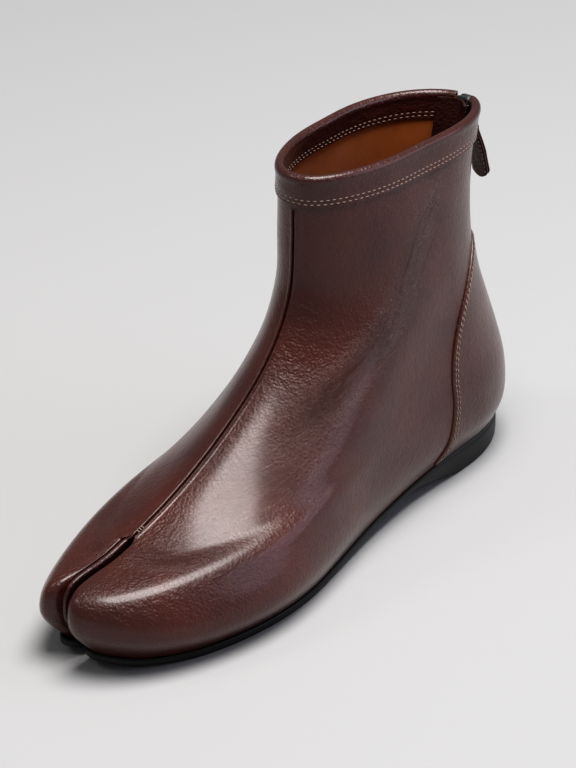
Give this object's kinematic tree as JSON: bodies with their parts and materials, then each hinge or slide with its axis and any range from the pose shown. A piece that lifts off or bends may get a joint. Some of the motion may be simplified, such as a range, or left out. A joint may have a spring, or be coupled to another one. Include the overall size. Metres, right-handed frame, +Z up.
{
  "type": "split-toe ankle boot (jika tabi)",
  "caption": "Left split-toe leather ankle boot with a low wedge heel, a seam down the front and a zip with a hanging pull tab up the back.",
  "frame": {"origin": "on the floor under the middle of the heel", "axes": "+Z up, toes towards -Y, +X towards the outer (little-toe) side of the foot"},
  "size_m": [0.0889, 0.2692, 0.1615],
  "materials": {
    "upper_leather": "glossy dark reddish-brown smooth calf leather, softly creased",
    "lining_leather": "matt tan lining leather",
    "sole_rubber": "matt black moulded rubber",
    "zip_tape": "dark brown woven zip tape",
    "zip_metal": "dark gunmetal plating"
  },
  "bodies": {
    "boot": {"outsole": "sole_rubber", "insole": "lining_leather", "upper": "upper_leather", "heel_counter": "upper_leather", "collar_band": "upper_leather", "zip_tape_outer": "zip_tape", "zip_tape_inner": "zip_tape", "zip_chain": "zip_metal", "zip_stop": "zip_metal", "zip_guard": "upper_leather", "zip_slider": "zip_metal"},
    "pull": {"zip_puller": "zip_metal", "pull_tab": "upper_leather"}
  },
  "joints": [
    {"name": "pull_hinge", "type": "hinge", "parent": "boot", "child": "pull", "pos_m": [0.00605, 0.01888, 0.15295], "axis": [1, 0, 0], "range_deg": [-16, 144]}
  ]
}
